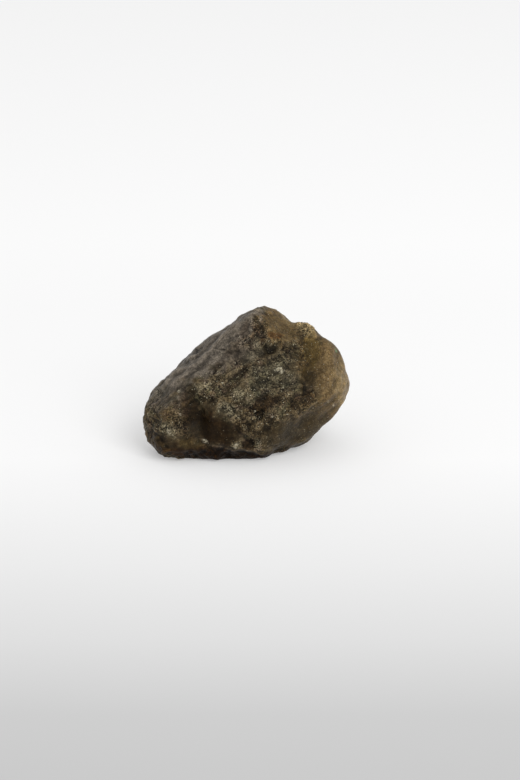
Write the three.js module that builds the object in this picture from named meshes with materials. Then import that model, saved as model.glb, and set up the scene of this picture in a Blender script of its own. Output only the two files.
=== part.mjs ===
// A rough piece of labradorite, broken out along its cleavage and slightly worn: one stone.
// Millimetres, +Z up. The front of the stone looks along -Y, and it rests on Z = 0 on a flat broken face.
import * as THREE from "three";
import { ImprovedNoise } from "three/addons/math/ImprovedNoise.js";
import { mergeVertices } from "three/addons/utils/BufferGeometryUtils.js";

// Driving dimensions.
const HEART_HEIGHT = 13; // of the heart, the point inside the stone that its faces are measured from
const EYE_RISE = 20; // degrees above level, of the eye that the faces are described for
const EDGE_WEAR = 0.22; // how far the edges between faces are worn back
const SHELL_WEAR = 0.66; // the same, where a lump meets the faces that bound the whole stone
const VALLEY_WEAR = 0.7; // how softly two lumps of the stone run into each other
const PIT_WEAR = 0.8; // how softly a pit runs into the face round it
const SWELL = { size: 6.3, height: 0.5, seed: 3.1 }; // broad unevenness of the broken faces
const GRAIN = { size: 3.1, height: 0.32, seed: 5.9 }; // finer unevenness
const RISER = 0.2; // share of a cleavage ledge's spacing that its drop takes
const LEDGE_BEND = { size: 11, height: 1.5, seed: 2.4 }; // how far the ledges wander, in spacings
const LEDGE_FADE = 0.35; // how fast the ledges come and go over the surface

// How the skin is made.
const REACH = { side: 24, back: 18, up: 18 }; // half sizes of the egg that it is stretched from
const SKIN_DETAIL = 21; // each edge of an icosahedron is cut in this many and one more
const SPREAD_ROUNDS = 12; // times that its points are spread out over the surface
const SPREAD_STEP = 0.6; // share of the way that each goes to the middle of its neighbours
const PROBE = 0.05; // step over which the slope of the surface is felt
const REST_SLACK = 0.06; // what lies lower than this is part of the flat face that the stone rests on

// The eye's own directions: u to the right, v up across the line of sight, w to the eye.
const rise = THREE.MathUtils.degToRad(EYE_RISE);
const EYE_U = new THREE.Vector3(1, 0, 0);
const EYE_V = new THREE.Vector3(0, Math.sin(rise), Math.cos(rise));
const EYE_W = new THREE.Vector3(0, -Math.cos(rise), Math.sin(rise));

// A direction: clock is counted in degrees anticlockwise from the right, and turn is how far it is turned to
// the eye.
function towards(clock, turn) {
  const c = THREE.MathUtils.degToRad(clock);
  const t = THREE.MathUtils.degToRad(turn);
  return new THREE.Vector3()
    .addScaledVector(EYE_U, Math.cos(c) * Math.cos(t))
    .addScaledVector(EYE_V, Math.sin(c) * Math.cos(t))
    .addScaledVector(EYE_W, Math.sin(t));
}

// A broken face: the direction that it looks in, as clock and turn, and its distance from the heart.
function face([clock, turn, distance]) {
  return { normal: towards(clock, turn), distance };
}

// Faces that bound the whole stone.
const LEFT_END = [[-135, 0, 22.2], [-170, 0, 23.4], [162, 0, 19.7], [175, 45, 18.5], [-150, 40, 20.4]];
const RIGHT_END = [
  [18, 0, 22.2], [-22, 0, 20.6], [-35, 0, 19.1], [18, 27, 20.0], [-14, 27, 19.5], [22, 60, 15.9],
  [-25, 62, 15.7],
];
const LOWER_FRONT = [[-50, 34, 14.2], [-90, 40, 14.5], [-90, 65, 12.6], [-90, 82, 13.3]];
const UNDERSIDE = [[-47, 0, 16.8], [-71, 0, 15.0], [-45, -45, 16.5], [-135, -40, 17.5]];
const BACK = [[100, -85, 15.5], [-175, -48, 16.5]];
const SHELL = [...LEFT_END, ...RIGHT_END, ...LOWER_FRONT, ...UNDERSIDE, ...BACK].map(face);

// Faces that more than one lump has.
const LEFT_FRONT = [136, 61, 11.5];
const RIGHT_FRONT = [42, 64, 11.6];
const FLANK = [8, 42, 13.6]; // falls to the valley beside the lobe
const DARK_SIDE = [-152, 47, 13.8]; // falls to the bowl beside the nose
const SCOOP = [45, 35, 13.6]; // beside the peak

// The lumps that the stone is made of. Each reaches past the heart, so they leave valleys but no caves.
const LUMPS = {
  body: [
    [140, 0, 14.9], [131, 0, 14.5], [115, 0, 14.4], [129, 29, 12.8],
    LEFT_FRONT, RIGHT_FRONT, FLANK, DARK_SIDE, SCOOP, [66, 0, 16.9], [90, -42, 14], [150, -40, 15.4],
    [40, -30, 16.5],
  ],
  peak: [
    [135, 0, 12.4], [109, 0, 16.4], [78, 0, 19.5], [63, 0, 19.0], [38, 0, 16.8], [120, 20, 14.8],
    LEFT_FRONT, RIGHT_FRONT, FLANK, DARK_SIDE, SCOOP, [88, -30, 17.0], [30, -30, 16.2],
  ],
  lobe: [
    [132, 58, 1.5], [104, 0, 11.5], [51, 0, 19.6], [50, 40, 16.8],
    [92, -40, 12.5], [15, -45, 18.2], [50, -38, 17], [150, -10, 6],
  ],
  foot: [[77, 50, 7.9], DARK_SIDE, [20, -30, 15], [130, -20, 7]],
  nose: [[-20, 75, 5.6], [143, 0, 16.3], [127, 0, 12.8], [127, 29, 11.3], [90, -30, 8], [20, -30, 10]],
};
const lumps = Object.values(LUMPS).map((faces) => faces.map(face));

// Small hollows, where grains and chips have come away: clock, turn, radius and depth.
const PITS = [
  // front
  [-86, 37, 1.4, 0.8], [-43, 70, 1.8, 0.6], [-11, 47, 1.5, 0.5], [91, 42, 1.8, 0.6], [-60, 62, 2.2, 0.7],
  [-128, 62, 3.5, 0.9], [-165, 55, 2.0, 0.6], [165, 35, 2.4, 0.7], [100, 60, 3.0, 0.7], [75, 35, 3.2, 0.9],
  [58, 40, 2.8, 0.7], [30, 75, 2.2, 0.6], [5, 20, 2.4, 0.5], [-30, 20, 2.6, 0.6], [-60, 15, 2.8, 0.7],
  [110, 5, 2.4, 0.6], [140, 8, 2.6, 0.5],
  // back
  [68, -34, 2.8, 0.9], [20, -30, 3.6, 1.0], [-20, -40, 3.0, 0.9], [80, -45, 4.0, 1.1],
  [110, -30, 2.6, 0.8], [140, -50, 3.8, 1.1], [170, -25, 2.8, 0.9], [-160, -40, 3.4, 0.9],
  [60, -70, 3.6, 1.0], [-80, -75, 3.0, 0.9], [-120, -60, 2.8, 0.8],
];

// Cleavage ledges: the direction that they step along, as clock and turn, their spacing and their height, and
// the patches of the surface that they show in.
const LEDGES = [
  { clock: 125, turn: -5, spacing: 3.4, height: 0.6, patches: { size: 10, height: 1, seed: 8.2 } },
  { clock: 22, turn: 32, spacing: 5.2, height: 0.6, patches: { size: 10, height: 1, seed: 13.2 } },
];

const noise = new ImprovedNoise();
const NOISE_START = new THREE.Vector3(0, 7.7, 1.3);

// A smooth random swing, given in bumps of one size and height.
function swing(from, { size, height, seed }) {
  const { x, y, z } = NOISE_START;
  return height * noise.noise(from.x / size + seed + x, from.y / size + y, from.z / size + z);
}

// The greater of two numbers, rounded off where they are nearly the same.
function softMax(a, b, wear) {
  const nearness = Math.max(wear - Math.abs(a - b), 0) / wear;
  return Math.max(a, b) + (nearness * nearness * wear) / 4;
}

// How far a point, given from the heart, lies outside a set of faces whose edges are worn.
function beyond(faces, from) {
  const depths = faces.map(({ normal, distance }) => normal.dot(from) - distance);
  const most = Math.max(...depths);
  return most + EDGE_WEAR * Math.log(depths.reduce((sum, d) => sum + Math.exp((d - most) / EDGE_WEAR), 0));
}

function beyondFlatFaces(from) {
  const joined = lumps.map((faces) => beyond(faces, from)).reduce((a, b) => -softMax(-a, -b, VALLEY_WEAR));
  return softMax(beyond(SHELL, from), joined, SHELL_WEAR);
}

// The distance from the heart to the surface of a field along a ray.
function meet(field, ray) {
  const point = new THREE.Vector3();
  let near = 0;
  let far = 60;
  for (let step = 0; step < 26; step++) {
    const middle = (near + far) / 2;
    if (field(point.copy(ray).multiplyScalar(middle)) > 0) far = middle;
    else near = middle;
  }
  return near;
}

// A slow climb and a quick drop, from 0 to 1 and back for each whole step of t.
function ledge(t) {
  const part = t - Math.floor(t);
  return part < 1 - RISER ? part / (1 - RISER) : (1 - part) / RISER;
}

// The broken surface's own relief.
function relief(from) {
  let depth = swing(from, SWELL) + swing(from, GRAIN);
  for (const { clock, turn, spacing, height, patches } of LEDGES) {
    const strength = THREE.MathUtils.smoothstep(swing(from, patches), -LEDGE_FADE, LEDGE_FADE);
    const steps = towards(clock, turn).dot(from) / spacing + swing(from, LEDGE_BEND);
    depth += strength * height * (ledge(steps) - 0.5);
  }
  return depth;
}

const pits = PITS.map(([clock, turn, radius, depth]) => {
  const ray = towards(clock, turn);
  return { middle: ray.multiplyScalar(meet(beyondFlatFaces, ray) + radius - depth), radius };
});

// How far a point, given from the heart, lies outside the stone; the last limit is the ground.
function outside(from) {
  let d = beyondFlatFaces(from);
  for (const { middle, radius } of pits) d = softMax(d, radius - middle.distanceTo(from), PIT_WEAR);
  return Math.max(d + relief(from), -HEART_HEIGHT - from.z);
}

// Slides a point down the slope of the field until it lies on the surface.
const slope = new THREE.Vector3();
function settle(point) {
  for (let step = 0; step < 2; step++) {
    const here = outside(point);
    for (const axis of ["x", "y", "z"]) {
      const probe = point.clone();
      probe[axis] += PROBE;
      slope[axis] = (outside(probe) - here) / PROBE;
    }
    point.addScaledVector(slope, -here / Math.max(slope.lengthSq(), 0.3));
  }
}

// For each point of a mesh, the points that it shares an edge with.
function findNeighbours(points, corners) {
  const neighbours = points.map(() => new Set());
  corners.forEach((corner, i) => {
    const next = corners[i % 3 === 2 ? i - 2 : i + 1];
    neighbours[corner].add(points[next]);
    neighbours[next].add(points[corner]);
  });
  return neighbours;
}

// The skin: an icosphere whose points are moved along rays from the heart until they meet the surface, and
// are then slid over it until they are evenly spread.
function makeSkin() {
  const ball = new THREE.IcosahedronGeometry(1, SKIN_DETAIL);
  ball.deleteAttribute("normal");
  ball.deleteAttribute("uv");
  const skin = mergeVertices(ball, 1e-5);
  const { position } = skin.attributes;
  const points = Array.from({ length: position.count }, (_, i) => {
    const ray = new THREE.Vector3().fromBufferAttribute(position, i);
    ray.set(ray.x * REACH.side, ray.y * REACH.back, ray.z * REACH.up).normalize();
    return ray.multiplyScalar(meet(outside, ray));
  });
  const neighbours = findNeighbours(points, skin.index.array);
  const middle = new THREE.Vector3();
  for (let round = 0; round < SPREAD_ROUNDS; round++) {
    points.forEach((point, i) => {
      middle.set(0, 0, 0);
      neighbours[i].forEach((other) => middle.add(other));
      point.lerp(middle.divideScalar(neighbours[i].size), SPREAD_STEP);
      settle(point);
    });
  }
  points.forEach((point, i) => {
    const height = point.z + HEART_HEIGHT;
    position.setXYZ(i, point.x, point.y, height < REST_SLACK ? 0 : height);
  });
  return skin;
}

// The stone, with the middle of its box over the origin.
function makeStone() {
  const skin = makeSkin();
  const material = new THREE.MeshStandardMaterial({ color: 0x5c5244, roughness: 0.55, metalness: 0 });
  const stone = new THREE.Mesh(skin, material);
  stone.name = "labradorite";
  skin.computeBoundingBox();
  skin.boundingBox.getCenter(stone.position).negate().setZ(0);
  return stone;
}

const group = new THREE.Group();
group.add(makeStone());
export default group;
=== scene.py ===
"""A rough piece of labradorite on a pale ground, seen from the front and a little above."""
import itertools
import math

import bmesh
import bpy
import numpy as np
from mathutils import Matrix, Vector


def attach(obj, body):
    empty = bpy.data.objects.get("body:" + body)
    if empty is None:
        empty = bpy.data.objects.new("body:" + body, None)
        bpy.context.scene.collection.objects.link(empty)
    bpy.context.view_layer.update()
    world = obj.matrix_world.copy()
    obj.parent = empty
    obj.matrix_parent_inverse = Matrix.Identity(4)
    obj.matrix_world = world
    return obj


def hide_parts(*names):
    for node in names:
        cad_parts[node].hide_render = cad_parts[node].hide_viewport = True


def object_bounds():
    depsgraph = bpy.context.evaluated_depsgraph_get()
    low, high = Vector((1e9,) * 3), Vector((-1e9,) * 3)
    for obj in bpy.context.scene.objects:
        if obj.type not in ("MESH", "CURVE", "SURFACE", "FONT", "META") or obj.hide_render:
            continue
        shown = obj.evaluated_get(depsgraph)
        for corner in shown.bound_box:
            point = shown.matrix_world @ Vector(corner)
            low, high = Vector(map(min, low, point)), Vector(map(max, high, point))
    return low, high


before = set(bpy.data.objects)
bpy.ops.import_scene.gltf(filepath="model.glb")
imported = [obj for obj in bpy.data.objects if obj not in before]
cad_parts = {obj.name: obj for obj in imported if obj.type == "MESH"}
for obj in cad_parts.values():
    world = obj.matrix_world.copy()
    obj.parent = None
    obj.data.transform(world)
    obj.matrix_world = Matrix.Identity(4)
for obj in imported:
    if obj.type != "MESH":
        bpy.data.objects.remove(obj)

CAD_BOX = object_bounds()

MM = 0.001
EYE_RISE = math.radians(20)  # of the eye that the stone's places are described for
HEART = np.array([-0.05, -2.41, 13.0])  # mm, inside the stone, where its places are measured from
FINE_SPACING = 0.242  # mm, of the visible mesh, about one pixel of the photograph
WELD = 0.005  # mm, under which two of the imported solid's points are one

# The photograph's camera.
EYE_DISTANCE = 500 * MM
SENSOR = 36  # mm, along the picture's longer side
LENS = 105.7  # mm
AIM = Vector(HEART + (2.86, 0.0, 0.2)) * MM


def make_camera():
    data = bpy.data.cameras.new("camera")
    data.lens = LENS
    data.sensor_width = SENSOR
    data.clip_start = 10 * MM
    camera = bpy.data.objects.new("camera", data)
    back = Vector((0, -math.cos(EYE_RISE), math.sin(EYE_RISE)))
    camera.location = AIM + back * EYE_DISTANCE
    camera.rotation_euler = (math.pi / 2 - EYE_RISE, 0, 0)
    bpy.context.scene.collection.objects.link(camera)
    bpy.context.scene.camera = camera


# Random numbers and patterns in space, for arrays of points in mm.

LATTICE_SHIFT = 4096  # keeps the whole-number points above zero
LATTICE_PRIMES = (73856093, 19349663, 83492791)
SEED_FACTOR = 40503
MIX_FACTOR = 739982445
HALF_WORD = np.uint32(15)
LATTICE_STEPS = 0x1000000
SWING_TURN = np.array([[0.36, 0.48, -0.8], [-0.8, 0.6, 0.0], [0.48, 0.64, 0.6]])
CREASE_TURN = np.array([[0.79, 0.09, 0.61], [-0.33, 0.9, 0.29], [-0.52, -0.43, 0.74]])
FAR = 9.0  # cells, squared, more than any point is from the nearest middle


def lattice(cell, seed):
    """A random number from 0 to 1 for each whole-number point."""
    x, y, z = (cell + LATTICE_SHIFT).astype(np.uint32).T
    a, b, c = (np.uint32(prime) for prime in LATTICE_PRIMES)
    h = x * a ^ y * b ^ z * c ^ np.uint32(seed * SEED_FACTOR)
    for _ in range(2):
        h = (h ^ (h >> HALF_WORD)) * np.uint32(MIX_FACTOR)
    return ((h ^ (h >> HALF_WORD)) & np.uint32(LATTICE_STEPS - 1)) / float(LATTICE_STEPS)


def lattice_point(cell, seed):
    """Three random numbers from 0 to 1 for each whole-number point."""
    return np.stack([lattice(cell, seed + k) for k in range(3)], 1)


def smooth(low, high, x):
    t = np.clip((x - low) / (high - low), 0, 1)
    return t * t * (3 - 2 * t)


def swing(points, size, seed):
    """Smooth random bumps of one size, from -1 to 1."""
    q = points @ SWING_TURN / size
    cell = np.floor(q)
    part = q - cell
    part = part ** 3 * (part * (part * 6 - 15) + 10)
    total = np.zeros(len(points))
    for corner in itertools.product((0, 1), repeat=3):
        weight = np.prod(np.where(corner, part, 1 - part), axis=1)
        total += weight * lattice(cell + corner, seed)
    return total * 2 - 1


def creased(points, size, seed):
    """Random flat faces that meet in sharp ridges and hollows, from -1 to 1. They lie along the
    planes of one grid, as cleavage does."""
    q = points @ CREASE_TURN / size
    cell = np.floor(q)
    part = q - cell
    order = np.argsort(-part, axis=1)
    share = np.take_along_axis(part, order, axis=1)
    weights = -np.diff(share, axis=1, prepend=1, append=0)
    total = weights[:, 0] * lattice(cell, seed)
    for k in range(3):
        axis = order[:, k:k + 1]
        np.put_along_axis(cell, axis, np.take_along_axis(cell, axis, 1) + 1, 1)
        total += weights[:, k + 1] * lattice(cell, seed)
    return total * 2 - 1


def grain_cells(points, size, seed):
    """For the grain that each point is in: the gap to the next grain, and a random number."""
    q = points / size
    base = np.floor(q)
    near = np.full(len(q), FAR)
    second = near.copy()
    own = np.zeros_like(q)
    for step in itertools.product((-1, 0, 1), repeat=3):
        cell = base + step
        distance = ((q - cell - lattice_point(cell, seed)) ** 2).sum(1)
        closer = distance < near
        second = np.where(closer, near, np.minimum(second, distance))
        near = np.where(closer, distance, near)
        own[closer] = cell[closer]
    return (np.sqrt(second) - np.sqrt(near)) * size, lattice(own, seed + 7)


def hollows(points, size, seed):
    """Hollow breaks, each tilted its own way, that meet in sharp ridges: from about 0 to 1."""
    q = points / size
    base = np.floor(q)
    lowest = np.full(len(q), FAR)
    for step in itertools.product((-1, 0, 1), repeat=3):
        cell = base + step
        away = q - cell - lattice_point(cell, seed)
        tilt = lattice_point(cell, seed + 7) - 0.5
        height = 0.5 * (away ** 2).sum(1) + 0.9 * (away * tilt).sum(1)
        lowest = np.minimum(lowest, height + 0.4 * lattice(cell, seed + 11))
    return lowest


# The directions that the stone splits across, the first two the cleanest.
CLEAVAGES = np.array([[-0.504, -0.319, 0.802], [0.455, -0.85, -0.267], [0.767, 0.23, 0.573]])
TREAD = 0.85  # the part of a step that is its flat, the rest is its riser
STEP_WAVE = (0.5, 3.5)  # how far the steps wander, in steps, and over how many of them


def steps(points, normals, size, seed):
    """Flat steps that a surface is broken into where it lies near one of the cleavages, in mm."""
    amount, reach = STEP_WAVE
    total = np.zeros(len(points))
    for k, cleavage in enumerate(CLEAVAGES):
        level = points @ cleavage / size + amount * swing(points, reach * size, seed + k)
        part = level - np.floor(level)
        back = np.where(part < TREAD, 0.5 - part / TREAD, (part - TREAD) / (1 - TREAD) - 0.5)
        total += size * back * (normals @ cleavage)
    return total


def layers(pattern, points, rows):
    """A pattern at several sizes, one on top of the other. Each row: height, size and seed."""
    return sum(height * pattern(points, size, seed) for height, size, seed in rows)


def seen_from(places, side):
    """Places from the heart as an eye in front of the stone has them (side 1), or one behind it
    (side -1): to the right, up across the line of sight, and towards the eye."""
    x, y, z = (places - HEART).T
    s, c = math.sin(EYE_RISE), math.cos(EYE_RISE)
    return side * x, side * y * s + z * c, -side * y * c + z * s


def stretched(places, clock, length, width):
    """Places in units of this length along a direction, as the front shows it, and of this width
    across it."""
    u, v, w = seen_from(places, 1)
    c, s = math.cos(math.radians(clock)), math.sin(math.radians(clock))
    return np.stack([(u * c + v * s) / length, (v * c - u * s) / width, w / length], 1)


# The stone's zones, as its front shows them from the eye's side and its back from the opposite
# side, both from the same height. Each patch: its middle to the right of the heart and above it,
# half its length and half its width, all in mm, the clock angle of its length, and how strong it
# is. A zone's place in the list gives its borders their seed.
FRONT_ZONES = {
    "slab": [
        (-8.5, 8.8, 13.5, 4.2, 41, 1.0),
        (-18.5, 0.0, 4.0, 3.0, 50, 0.6),
        (-2.5, 16.2, 3.4, 1.8, 25, 0.8),
    ],
    "resin": [
        (19.0, 3.5, 10.0, 5.0, 100, 1.0),
        (15.0, -4.5, 5.0, 3.4, 60, 0.4),
        (7.6, 14.4, 4.6, 3.6, -45, 1.0),
        (-17.3, -5.2, 2.0, 1.4, 20, 0.35),
        (-10.5, -11.6, 2.6, 1.4, -10, 0.3),
    ],
    # Painted light: the thin edges of the lobe, the peak and the shoulder made lighter, as light
    # shining through them.
    "rim_glow": [
        (21.0, 1.5, 5.5, 1.6, 98, 0.8),
        (8.5, 16.6, 4.0, 1.0, -52, 0.8),
        (13.2, 13.2, 2.6, 1.8, -30, 1.0),
    ],
    # Partly the stone's amber colour, partly painted light shining through its thin parts, as in the
    # band along the bottom.
    "amber_and_glow": [
        (6.2, 11.9, 1.6, 0.6, -5, 0.85),
        (-14.6, -13.4, 3.0, 0.7, -14, 0.5),
        (3.2, -14.6, 3.6, 0.5, 8, 0.5),
    ],
    # Partly the stone's own dark patches, partly painted shade: in the hollow at the lower left, the
    # valley before the right lobe, below the long face's crease and along the bottom.
    "dark_and_shade": [
        (-9.6, -8.2, 6.2, 4.2, -25, 0.6),
        (-18.0, -11.2, 4.0, 1.8, -20, 0.6),
        (-16.4, -4.4, 3.0, 2.2, -50, 0.3),
        (0.0, -9.6, 3.0, 1.6, 0, 0.3),
        (-0.4, 8.5, 3.6, 2.0, 40, 0.45),
        (-12.0, -4.0, 4.2, 1.8, -76, 0.85),
        (-6.3, -8.6, 5.0, 3.4, -25, 1.0),
        (-11.8, -7.5, 3.6, 1.8, 80, 0.8),
        (3.6, -3.0, 3.4, 1.6, 24, 1.0),
        (11.6, -2.2, 3.4, 1.5, 40, 0.8),
        (13.0, 2.4, 3.4, 1.3, 75, 0.5),
        (4.4, 7.4, 3.4, 1.6, 24, 0.4),
        (7.6, 8.6, 3.4, 1.4, 10, 0.45),
        (-0.4, 12.4, 2.4, 0.9, 75, 0.7),
        (3.6, 11.4, 2.2, 0.5, 95, 0.35),
        (1.6, 9.8, 1.6, 1.4, 95, 0.6),
        (-4.0, 7.6, 5.0, 0.7, 41, 0.5),
        (0.4, -11.6, 1.7, 1.1, 0, 0.9),
        (-2.4, -12.9, 3.4, 0.7, -8, 0.6),
    ],
    # Painted shade: a near-black band along the underside, where shade falls under the front edge.
    "under_shade": [(-3.0, -14.3, 14.0, 1.8, -6, 1.0), (9.0, -13.4, 5.0, 1.2, 20, 0.6)],
    "pale": [
        (-9.6, 0.9, 2.2, 0.9, 10, 0.6),
        (-1.9, -0.8, 1.5, 1.2, 60, 1.0),
        (-4.0, -3.9, 2.2, 1.4, -20, 1.0),
        (-16.6, -8.6, 1.7, 1.3, -50, 0.7),
        (-2.2, -11.7, 1.0, 0.7, 20, 0.9),
        (6.7, 4.5, 1.0, 0.6, 20, 1.0),
        (2.4, -11.4, 0.6, 1.5, 10, 0.7),
        (12.9, 13.3, 1.8, 1.2, -30, 0.5),
        (0.6, 7.6, 1.0, 1.0, 0, 0.5),
        (2.2, 9.6, 0.9, 1.8, 15, 0.6),
    ],
    "glass": [
        (8.4, -9.4, 5.6, 3.2, 30, 0.9),
        (14.0, -7.4, 4.5, 2.4, 42, 0.6),
        (17.5, -2.6, 3.4, 2.2, 60, 0.3),
        (-6.3, -8.6, 4.2, 2.8, -25, 0.9),
        (-15.6, -11.4, 4.6, 2.0, -16, 0.7),
        (-8.0, -3.6, 2.2, 1.4, 0, 0.6),
        (4.0, -8.8, 3.0, 3.0, 0, 0.5),
        (10.6, 5.2, 2.6, 1.6, 80, 0.5),
    ],
    "edge": [
        (-5.0, -12.3, 3.6, 0.22, -10, 1.0),
        (2.6, -13.9, 4.4, 0.22, -22, 1.0),
        (2.9, -11.8, 0.3, 1.5, 0, 0.8),
    ],
    "olive": [
        (14.0, 8.6, 4.4, 1.8, 85, 1.0),
        (7.0, 13.6, 3.4, 2.6, -45, 0.4),
        (-12.6, -11.4, 2.6, 1.2, -10, 0.5),
    ],
    "rib": [(2.0, 12.4, 3.2, 1.2, 100, 1.0), (-1.4, 11.0, 2.2, 1.4, 60, 0.6)],
    "cool": [
        (4.6, 3.4, 5.0, 3.0, 30, 0.9),
        (8.9, 2.6, 2.4, 2.0, 0, 0.9),
        (2.4, -1.2, 3.0, 2.4, 0, 0.7),
        (-17.6, 0.6, 2.6, 1.6, 40, 0.8),
        (-11.0, 7.6, 4.0, 1.6, 41, 0.6),
        (8.4, -8.4, 2.4, 1.8, 0, 0.5),
        (-18.8, -7.4, 1.6, 1.6, 0, 0.5),
        (1.8, 8.2, 3.4, 1.6, 20, 0.6),
    ],
    "chip": [
        (6.6, 4.5, 0.7, 0.3, 20, 1.0),
        (7.5, 4.1, 0.4, 0.3, -60, 0.7),
        (-14.5, -0.2, 0.4, 0.25, 60, 0.7),
        (-14.2, -5.0, 0.25, 0.2, 0, 1.0),
        (-2.4, -11.8, 0.7, 0.35, 60, 0.9),
        (-8.9, -10.8, 0.6, 0.3, -40, 0.9),
        (17.5, -2.2, 0.2, 0.15, 0, 0.9),
        (18.8, -3.1, 0.2, 0.2, 0, 0.9),
        (1.8, -4.4, 0.3, 0.2, 0, 0.9),
        (5.5, -5.5, 0.2, 0.2, 0, 0.8),
        (-16.6, -8.8, 0.4, 0.7, 30, 0.5),
    ],
    "smooth": [
        (8.4, -9.4, 5.4, 3.0, 30, 1.0),
        (13.5, -7.4, 6.5, 2.8, 42, 1.0),
        (-7.6, -7.8, 5.0, 3.4, -25, 0.85),
        (-8.0, -3.6, 2.0, 1.2, 0, 0.7),
        (18.4, 3.5, 10.0, 5.5, 100, 1.0),
        (18.0, -5.0, 5.0, 3.6, 60, 1.0),
        (7.6, 14.4, 4.2, 3.2, -45, 1.0),
        (5.6, 16.4, 3.6, 2.0, -30, 0.8),
        (-15.6, -11.4, 4.4, 1.8, -16, 0.9),
        (-8.5, 8.8, 13.5, 4.0, 41, 0.85),
        (-0.5, 16.0, 3.0, 1.6, 10, 0.6),
    ],
    "bulge": [(-19.2, -12.2, 2.8, 1.6, -50, 1.0)],
}
BACK_ZONES = {
    "slab": [(6.0, 8.0, 9.0, 5.0, -40, 0.8), (-9.0, -3.5, 5.0, 3.2, 70, 0.6)],
    "resin": [
        (-15.0, 5.0, 6.0, 4.0, 50, 0.9),
        (14.0, -6.0, 6.0, 3.4, -20, 0.8),
        (0.0, -11.0, 6.0, 2.0, 0, 0.6),
    ],
    # Painted light: a lighter thin edge, as light shining through it.
    "rim_glow": [(-19.0, 2.0, 4.0, 1.4, 80, 0.7)],
    # Partly amber stone, partly painted light shining through thin parts.
    "amber_and_glow": [(-6.0, -12.0, 4.0, 1.2, 10, 0.3), (16.0, -8.5, 2.0, 1.0, 30, 0.3)],
    # Partly dark stone, partly painted shade.
    "dark_and_shade": [
        (-4.0, 2.0, 5.0, 2.0, 30, 0.8),
        (4.0, -5.0, 6.0, 2.2, -25, 0.8),
        (12.0, 2.0, 3.0, 2.0, 60, 0.6),
    ],
    # Painted shade: a near-black band along the underside.
    "under_shade": [(0.0, -14.6, 16.0, 1.9, 0, 1.0)],
    "pale": [
        (-1.0, 5.0, 1.8, 1.2, 20, 0.8),
        (8.0, -1.5, 1.6, 1.0, -30, 0.8),
        (-9.0, -4.5, 2.0, 1.0, 40, 0.7),
    ],
    "glass": [
        (6.0, -9.0, 6.0, 2.6, -10, 0.9),
        (-10.0, -8.0, 4.0, 2.2, 20, 0.7),
        (2.0, 6.0, 3.0, 2.0, 40, 0.5),
    ],
    "edge": [(-3.0, -12.0, 5.0, 0.25, 12, 0.8)],
    "olive": [(-12.0, 1.0, 4.0, 1.6, 60, 0.8), (10.0, -8.0, 3.0, 1.4, 0, 0.6)],
    "rib": [(1.5, 9.5, 3.4, 1.3, 70, 0.9)],
    "cool": [(-8.0, 8.0, 5.0, 3.0, 40, 0.8), (9.0, 3.0, 4.0, 2.4, -30, 0.7)],
    "chip": [
        (-7.0, 4.0, 0.7, 0.4, 30, 0.9),
        (5.0, 0.5, 0.5, 0.4, -20, 0.8),
        (-1.0, -6.0, 0.6, 0.4, 60, 0.8),
    ],
    "smooth": [
        (7.0, 8.5, 8.0, 4.0, -40, 0.8),
        (-15.0, 4.0, 6.0, 4.0, 50, 0.8),
        (6.0, -9.0, 6.0, 2.4, -10, 0.8),
    ],
    "bulge": [],
}
ZONE_SEEDS = 10  # from one zone's seed to the next
ZONE_BORDER = (0.6, 1.4)  # of a patch's half width, where it starts to fade and where it ends
FACING = (-6, -1)  # mm towards the eye, between which a zone of that side sets in

GREEN_SPOT = (19.8, 9.0)  # mm to the right of the heart and above it, the one green flash
GREEN_SIGHT = 0.5  # mm, how near to the line of sight the spot's middle may be
GREEN_FADE = (0.2, 0.7)  # mm from the spot's middle


def zone(name, places, seed):
    """How much each point is in a zone, from 0 to 1, with ragged borders."""
    ragged = layers(swing, places, [(0.3, 2.3, seed), (0.25, 0.9, seed + 1)])
    most = np.zeros(len(places))
    for patches, side in ((FRONT_ZONES, 1), (BACK_ZONES, -1)):
        u, v, w = seen_from(places, side)
        facing = smooth(*FACING, w)
        for right, above, length, width, clock, strength in patches[name]:
            c, s = math.cos(math.radians(clock)), math.sin(math.radians(clock))
            along = ((u - right) * c + (v - above) * s) / length
            across = ((v - above) * c - (u - right) * s) / width
            inside = 1 - smooth(*ZONE_BORDER, np.hypot(along, across) + ragged)
            most = np.maximum(most, strength * facing * inside)
    return most


def green_flash(places):
    """How much each point is in the small green spot on the stone's right edge, from 0 to 1."""
    right, above = GREEN_SPOT
    u, v, w = seen_from(places, 1)
    in_sight = np.hypot(u - right, v - above) < GREEN_SIGHT
    spot = places[np.argmax(np.where(in_sight, w, w.min()))]
    return 1 - smooth(*GREEN_FADE, np.linalg.norm(places - spot, axis=1))


def granularity(places, zones):
    """How much each point is broken into grains and not into clean faces, from 0 to 1."""
    amount = 0.75 + 0.7 * swing(places, 2.4, 90)
    amount += 0.5 * zones["pale"] + 0.7 * zones["rib"] - 1.4 * zones["smooth"]
    return np.clip(amount, 0, 1)


def slab_lines(places, slab):
    """The long face's few dark streaks, from 0 to 1, and its fine veins, from -1 to 1."""
    line = 1 - smooth(0.02, 0.09, np.abs(swing(stretched(places, 38, 8, 2.4), 1.0, 95)))
    some = smooth(0.0, 0.4, swing(places, 3.0, 96))
    coarse = swing(stretched(places, 40, 4, 1.1), 1.0, 97)
    fine = swing(stretched(places, 34, 2, 0.6), 1.0, 98)
    return slab * line * some, slab * (0.6 * coarse + 0.4 * fine)


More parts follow.
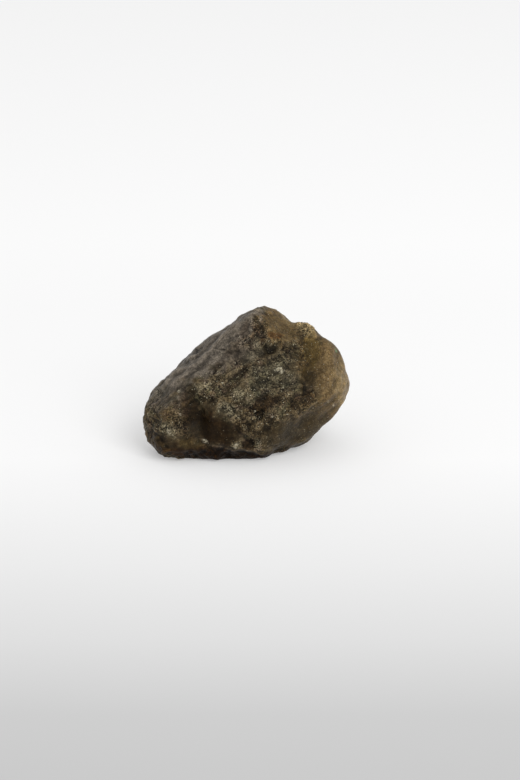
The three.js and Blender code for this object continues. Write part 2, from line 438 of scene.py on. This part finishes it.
def fine_mesh(source):
    """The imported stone's skin, in mm, as small even squares with its flat triangles rounded off."""
    mesh = source.data.copy()
    grid = bmesh.new()
    grid.from_mesh(mesh)
    bmesh.ops.remove_doubles(grid, verts=grid.verts, dist=WELD * MM)
    bmesh.ops.scale(grid, vec=(1 / MM,) * 3, verts=grid.verts)
    grid.to_mesh(mesh)
    grid.free()
    mesh.materials.clear()
    stone = bpy.data.objects.new("stone", mesh)
    bpy.context.scene.collection.objects.link(stone)
    rounder = stone.modifiers.new("rounder", "SUBSURF")
    rounder.levels = rounder.render_levels = 1
    remesh = stone.modifiers.new("remesh", "REMESH")
    remesh.mode = "VOXEL"
    remesh.voxel_size = FINE_SPACING
    bpy.context.view_layer.update()
    evaluated = stone.evaluated_get(bpy.context.evaluated_depsgraph_get())
    done = bpy.data.meshes.new_from_object(evaluated)
    stone.modifiers.clear()
    stone.data = done
    return stone


def softened(mesh, places, rounds):
    """Where the points come to lie when each moves to the middle of its neighbours, this often."""
    ends = np.empty(len(mesh.edges) * 2, np.int32)
    mesh.edges.foreach_get("vertices", ends)
    first, second = ends.reshape(-1, 2).T
    total = len(places)
    count = np.bincount(ends, minlength=total)
    for _ in range(rounds):
        columns = [
            np.bincount(first, x[second], total) + np.bincount(second, x[first], total)
            for x in places.T
        ]
        places = np.stack(columns, 1) / count[:, None]
    return places


def stand_out(mesh, places, normals, rounds):
    """How far each point stands out, in mm, from what is left of the surface when softened."""
    return ((places - softened(mesh, places, rounds)) * normals).sum(1)


def read_vectors(collection, name):
    values = np.empty(len(collection) * 3, np.float32)
    collection.foreach_get(name, values)
    return values.reshape(-1, 3).astype(float)


# The relief. Rows of three: height in mm (of steps, as a share of their size), size in mm, seed.
BREAKS = ((0.8, 3.2, 15), (0.35, 1.4, 17))
BREAKS_MEAN = 0.22
CREASES = ((0.25, 2.6, 14), (0.15, 1.1, 16))
FINE_CREASES = ((0.12, 0.7, 17),)
COARSE_STEPS = (0.24, 2.1, 51)
FINE_STEPS = (0.12, 0.9, 55)
GRAIN = (0.62, 31)  # size in mm, and seed
GRAIN_RISE = 0.12  # mm from the lowest grain to the highest
GRAIN_DOME = (0.2, 0.2)  # how steep a grain's border is, and how far in it ends, in mm
RISES = {"rib": 0.3, "chip": 0.15, "bulge": 0.9}  # mm, of zones
VEIN_RISE = 0.05  # mm
STREAK_DEPTH = 0.06  # mm
WARP = (0.25, 2.6, 60)  # what keeps the patterns from lying straight
CALM = 0.75  # the share of the breaks and creases that a smooth zone loses
GROUND_FADE = (0.05, 1.0)  # mm above the ground, between which the relief sets in
POLISH = 0.9  # how far a smooth zone goes towards its softened shape
POLISH_ROUNDS = 24
TUCK = 1.0  # mm that the front foot goes back
TUCK_HEIGHT = (0.5, 4.0)  # mm above the ground
TUCK_DEPTH = (6, 10)  # mm in front of the middle
PULL = 0.6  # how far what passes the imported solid's box is drawn back to it
CREST_ROUNDS = 4
RISE_ROUNDS = 30


def relief(places, normals, zones, granular, split, streak, vein):
    """How far each point moves out, in mm."""
    amount, reach, seed = WARP
    warped = places + amount * np.stack([swing(places, reach, seed + k) for k in range(3)], 1)
    gap, trait = grain_cells(warped, *GRAIN)
    steep, border = GRAIN_DOME
    grains = GRAIN_RISE * (trait - 0.5) + steep * np.minimum(gap, border)
    broken = layers(hollows, warped, BREAKS) - BREAKS_MEAN + layers(creased, warped, CREASES)
    high, wide, step_seed = COARSE_STEPS
    ledges = high * steps(places, normals, wide, step_seed)
    high, wide, step_seed = FINE_STEPS
    ledges += high * granular * steps(places, normals, wide, step_seed)
    return (
        (1 - CALM * zones["smooth"]) * broken
        + split * ledges
        + granular * (layers(creased, warped, FINE_CREASES) + grains)
        + sum(rise * zones[name] for name, rise in RISES.items())
        + VEIN_RISE * vein
        - STREAK_DEPTH * streak
    )


def carve(stone):
    """Breaks the stone's surface up, and keeps what the material needs to know of each place."""
    mesh = stone.data
    places = read_vectors(mesh.vertices, "co")
    normals = read_vectors(mesh.vertices, "normal")
    zones = {name: zone(name, places, ZONE_SEEDS * i) for i, name in enumerate(FRONT_ZONES)}
    granular = granularity(places, zones)
    clean = np.maximum(zones["smooth"], zones["slab"])
    split = smooth(-0.4, 0.5, swing(places, 5.0, 50)) * (1 - 0.9 * clean)
    grounded = smooth(*GROUND_FADE, places[:, 2])
    polished = POLISH * zones["smooth"] * (1 - zones["slab"]) * grounded
    places += polished[:, None] * (softened(mesh, places, POLISH_ROUNDS) - places)
    streak, vein = slab_lines(places, zones["slab"])

    out = grounded * relief(places, normals, zones, granular, split, streak, vein)
    moved = places + normals * out[:, None]
    tucked = (1 - smooth(*TUCK_HEIGHT, places[:, 2])) * smooth(*TUCK_DEPTH, -places[:, 1])
    moved[:, 1] += TUCK * tucked
    low, high = (np.array(corner) / MM for corner in CAD_BOX)
    moved -= PULL * (moved - np.clip(moved, low, high))
    moved[:, 2] = np.maximum(moved[:, 2], low[2])
    mesh.vertices.foreach_set("co", (moved * MM).ravel())
    mesh.update()

    normals = read_vectors(mesh.vertices, "normal")
    fields = {
        **zones,
        "granular": granular,
        "streak": streak,
        "vein": vein,
        "flash": green_flash(places),
        "crest": stand_out(mesh, moved, normals, CREST_ROUNDS),
        "rise": stand_out(mesh, moved, normals, RISE_ROUNDS),
    }
    for name, values in fields.items():
        attribute = mesh.attributes.new(name, "FLOAT", "POINT")
        attribute.data.foreach_set("value", values.astype(np.float32))
    mesh.shade_smooth()


def colour(red, green, blue):
    """An sRGB colour from 0 to 255, as the shader takes it."""
    shares = (red / 255, green / 255, blue / 255)
    linear = [((c + 0.055) / 1.055) ** 2.4 if c > 0.04 else c / 12.92 for c in shares]
    return (*linear, 1.0)


class Nodes:
    """A short way to write a material's nodes. A socket is called by its name, or by its number
    where a node has several of one name."""

    def __init__(self, name):
        self.material = bpy.data.materials.new(name)
        self.material.use_nodes = True
        self.tree = self.material.node_tree
        self.tree.nodes.clear()
        self.output = self.add("ShaderNodeOutputMaterial")

    def add(self, kind, settings=None, numbered=None, **named):
        node = self.tree.nodes.new(kind)
        for name, value in (settings or {}).items():
            setattr(node, name, value)
        for number, value in (numbered or {}).items():
            self.put(node, number, value)
        for name, value in named.items():
            self.put(node, name.replace("_", " "), value)
        return node

    def put(self, node, socket, value):
        if isinstance(value, bpy.types.NodeSocket):
            self.tree.links.new(value, node.inputs[socket])
        else:
            node.inputs[socket].default_value = value

    def math(self, operation, a, b):
        return self.add("ShaderNodeMath", {"operation": operation}, {0: a, 1: b}).outputs[0]

    def times(self, a, b):
        return self.math("MULTIPLY", a, b)

    def plus(self, a, b):
        return self.math("ADD", a, b)

    def minus(self, a, b):
        return self.math("SUBTRACT", a, b)

    def ramp(self, value, low, high, out_low=0.0, out_high=1.0):
        """Goes gently from one value to the other, between the low and the high end."""
        settings = {"interpolation_type": "SMOOTHSTEP"}
        ends = {"From_Min": low, "From_Max": high, "To_Min": out_low, "To_Max": out_high}
        node = self.add("ShaderNodeMapRange", settings, Value=value, **ends)
        return node.outputs["Result"]

    def mix(self, share, a, b, blend="MIX"):
        settings = {"data_type": "RGBA", "blend_type": blend}
        return self.add("ShaderNodeMix", settings, {0: share, 6: a, 7: b}).outputs[2]

    def field(self, name):
        return self.add("ShaderNodeAttribute", {"attribute_name": name}).outputs["Fac"]


# The zones' colours, laid over the rock one after the other, and the share of each.
TINTS = {
    "cool": (0.6, (66, 64, 50)),
    "rib": (0.9, (58, 43, 25)),
    # The long face's grey is partly its own colour and partly painted sheen and light from above, as
    # it faces up.
    "slab": (0.9, (105, 97, 87)),
    "resin": (0.9, (100, 82, 54)),
    "glass": (0.8, (51, 41, 25)),
    # Painted light shining through the thin edges.
    "rim_glow": (0.75, (138, 118, 82)),
    "olive": (0.8, (92, 75, 40)),
    # Dark stone, partly painted shade in the hollows and along the bottom.
    "dark_and_shade": (0.85, (30, 17, 3)),
    # Amber stone, partly painted light shining through thin parts.
    "amber_and_glow": (0.9, (78, 52, 24)),
    "pale": (0.5, (114, 107, 86)),
    "edge": (0.7, (98, 86, 70)),
    # Painted shade under the stone's edge, near black.
    "under_shade": (0.95, (21, 8, 0)),
}
ROCK_DARK, ROCK_LIGHT = (63, 53, 36), (84, 73, 54)
ROCK_BROWN, ROCK_GREEN = (78, 64, 52), (62, 58, 41)
STREAK = (40, 34, 28)
# Pale specks, partly grains of the stone and partly painted glints.
SPECK_AND_GLINT_DULL, SPECK_AND_GLINT_BRIGHT = (118, 106, 80), (180, 172, 148)
CHIP = (184, 176, 154)
FLASH = (104, 136, 98)

# How light a place is, between two values of what it depends on: those two, then the shares.
# Crest and rise: painted shade, darker where the surface sinks into hollows, and lighter on ridges,
# partly as worn edges and partly as a painted highlight.
CREST_SHADE_AND_HIGHLIGHT = (-0.07, 0.07, 0.54, 1.36)
RISE_SHADE_AND_HIGHLIGHT = (-0.35, 0.3, 0.6, 1.25)
CLOUD_LIGHT = (0.35, 0.65, 0.8, 1.2)


def stone_material():
    g = Nodes("labradorite")
    position = g.add("ShaderNodeTexCoord").outputs["Object"]
    mm = g.add("ShaderNodeMapping", Vector=position, Scale=(1 / MM,) * 3).outputs[0]

    def noise(scale, detail=3.0):
        return g.add("ShaderNodeTexNoise", Vector=mm, Scale=scale, Detail=detail).outputs["Fac"]

    zones = {name: g.field(name) for name in (*TINTS, "chip")}
    granular, vein = g.field("granular"), g.field("vein")

    rock_light = g.ramp(noise(0.3), 0.4, 0.6)
    base = g.mix(rock_light, colour(*ROCK_DARK), colour(*ROCK_LIGHT))
    base = g.mix(g.ramp(noise(0.55), 0.52, 0.66, 0.0, 0.7), base, colour(*ROCK_BROWN))
    base = g.mix(g.ramp(noise(0.45), 0.36, 0.46, 0.7, 0.0), base, colour(*ROCK_GREEN))
    for name, (share, tint) in TINTS.items():
        base = g.mix(g.times(zones[name], share), base, colour(*tint))
    base = g.mix(g.times(g.field("streak"), 0.6), base, colour(*STREAK))

    clusters = g.times(granular, g.ramp(noise(0.8, 2.0), 0.44, 0.6, 0.1, 1.0))
    grain_colours = g.add("ShaderNodeTexVoronoi", Vector=mm, Scale=1.6).outputs["Color"]
    grain = g.add("ShaderNodeSeparateColor", Color=grain_colours).outputs[0]
    grit = g.ramp(noise(3.5), 0.36, 0.64, -1.0, 1.0)
    light = g.plus(0.9, g.times(g.minus(grain, 0.5), g.ramp(clusters, 0, 1, 0.1, 0.4)))
    # Crest and rise paint shade into the hollows and highlights onto the ridges; grain, cloud, vein
    # and grit are the stone's own tone.
    for factor in (
        g.ramp(g.field("crest"), *CREST_SHADE_AND_HIGHLIGHT),
        g.ramp(g.field("rise"), *RISE_SHADE_AND_HIGHLIGHT),
        g.ramp(noise(1.3, 2.0), *CLOUD_LIGHT),
        g.plus(1.0, g.times(vein, 0.35)),
        g.plus(1.0, g.times(grit, g.ramp(granular, 0, 1, 0.3, 0.8))),
    ):
        light = g.times(light, factor)
    grey = g.add("ShaderNodeCombineColor", Red=light, Green=light, Blue=light).outputs[0]
    base = g.mix(1.0, base, grey, "MULTIPLY")

    # Pale specks: partly the stone's grains, partly painted glints, crowded where the rock is
    # granular.
    crowd = g.plus(g.times(clusters, 0.07), g.times(zones["pale"], 0.04))
    crowd = g.minus(crowd, g.times(zones["under_shade"], 0.4))
    crowd = g.minus(crowd, g.times(zones["dark_and_shade"], 0.06))
    speck_and_glint = g.ramp(g.plus(noise(3.4, 1.0), crowd), 0.66, 0.8)
    speck_and_glint_light = g.ramp(noise(1.6), 0.35, 0.65)
    base = g.mix(speck_and_glint, base, g.mix(speck_and_glint_light, colour(*SPECK_AND_GLINT_DULL), colour(*SPECK_AND_GLINT_BRIGHT)))
    sparkle = g.ramp(noise(2.4, 2.0), 0.38, 0.62, 0.1, 0.85)
    base = g.mix(g.times(zones["chip"], sparkle), base, colour(*CHIP))
    base = g.mix(g.times(g.field("flash"), 0.6), base, colour(*FLASH))

    bump = g.add("ShaderNodeBump", Height=noise(4.5, 6.0), Strength=0.6, Distance=0.2 * MM)
    roughness = g.plus(g.ramp(noise(1.2), 0.3, 0.7, 0.3, 0.5), g.times(granular, 0.15))
    shader = g.add(
        "ShaderNodeBsdfPrincipled",
        {"subsurface_method": "RANDOM_WALK"},
        Normal=bump.outputs[0],
        Base_Color=base,
        Roughness=roughness,
        IOR=1.5,
        Specular_IOR_Level=0.07,
        Subsurface_Weight=g.ramp(zones["resin"], 0, 1, 0.0, 0.3),
        Subsurface_Radius=(1.0, 0.62, 0.3),
        Subsurface_Scale=0.6 * MM,
    )
    g.put(g.output, "Surface", shader.outputs[0])
    return g.material


def make_stone():
    stone = fine_mesh(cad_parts["labradorite"])
    carve(stone)
    stone.data.materials.append(stone_material())
    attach(stone, "root")
    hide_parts("labradorite")


# The ground's greys, each at its mm behind the middle: painted shade, the ground darker towards the
# front.
FLOOR_GREYS_WITH_PAINTED_SHADE = {
    -160: 196,
    -127: 203,
    -98: 221,
    -66: 234,
    -30: 245,
    -10: 250,
    93: 251,
    157: 254,
}
FLOOR_REACH = 200  # mm, how far from the middle the greys are given
FLOOR_GLOW = 0.3  # the share of its light that the ground gives by itself, to thin the shadow
FLOOR_HALF = 4.0  # m
BLACK = (0, 0, 0, 1)


def floor_material():
    g = Nodes("floor")
    position = g.add("ShaderNodeTexCoord").outputs["Object"]
    depth = g.add("ShaderNodeSeparateXYZ", Vector=position).outputs["Y"]
    reach = FLOOR_REACH * MM
    share = g.add("ShaderNodeMapRange", Value=depth, From_Min=-reach, From_Max=reach)
    ramp = g.add("ShaderNodeValToRGB", Fac=share.outputs["Result"])
    stops = ramp.color_ramp.elements
    while len(stops) < len(FLOOR_GREYS_WITH_PAINTED_SHADE):
        stops.new(0.5)
    for stop, (y, grey) in zip(stops, FLOOR_GREYS_WITH_PAINTED_SHADE.items()):
        stop.position = (y / FLOOR_REACH + 1) / 2
        stop.color = colour(grey, grey, grey)
    shaded_greys = ramp.outputs["Color"]
    shader = g.add(
        "ShaderNodeBsdfPrincipled",
        Base_Color=g.mix(FLOOR_GLOW, shaded_greys, BLACK),
        Roughness=0.9,
        Specular_IOR_Level=0.0,
        Emission_Color=shaded_greys,
        Emission_Strength=FLOOR_GLOW,
    )
    g.put(g.output, "Surface", shader.outputs[0])
    return g.material


def make_floor():
    low, high = -FLOOR_HALF, FLOOR_HALF
    corners = [(low, low, 0), (high, low, 0), (high, high, 0), (low, high, 0)]
    mesh = bpy.data.meshes.new("floor")
    mesh.from_pydata(corners, [], [(0, 1, 2, 3)])
    mesh.materials.append(floor_material())
    floor = bpy.data.objects.new("floor", mesh)
    bpy.context.scene.collection.objects.link(floor)


KEY_PLACE = (0.62, -1.02, 0.85)  # m
KEY_SIZE = 0.9  # m
KEY_POWER = 12.0  # W
SKY_LOW, SKY_HIGH = 0.5, 0.84  # how strong the sky is at the horizon and overhead


def make_light(name, place, size, watts):
    data = bpy.data.lights.new(name, "AREA")
    data.shape = "SQUARE"
    data.size = size
    data.energy = watts
    light = bpy.data.objects.new(name, data)
    light.location = place
    light.rotation_euler = (AIM - Vector(place)).to_track_quat("-Z", "Y").to_euler()
    bpy.context.scene.collection.objects.link(light)


def make_sky():
    world = bpy.data.worlds.new("studio")
    bpy.context.scene.world = world
    world.use_nodes = True
    nodes, links = world.node_tree.nodes, world.node_tree.links
    parts = nodes.new("ShaderNodeSeparateXYZ")
    links.new(nodes.new("ShaderNodeTexCoord").outputs["Generated"], parts.inputs[0])
    strength = nodes.new("ShaderNodeMapRange")
    strength.inputs["To Min"].default_value = SKY_LOW
    strength.inputs["To Max"].default_value = SKY_HIGH
    links.new(parts.outputs["Z"], strength.inputs["Value"])
    links.new(strength.outputs["Result"], nodes["Background"].inputs["Strength"])
    nodes["Background"].inputs["Color"].default_value = (1, 1, 1, 1)


make_camera()
make_floor()
make_sky()
make_light("key", KEY_PLACE, KEY_SIZE, KEY_POWER)
bpy.context.scene.view_settings.view_transform = "Standard"
make_stone()
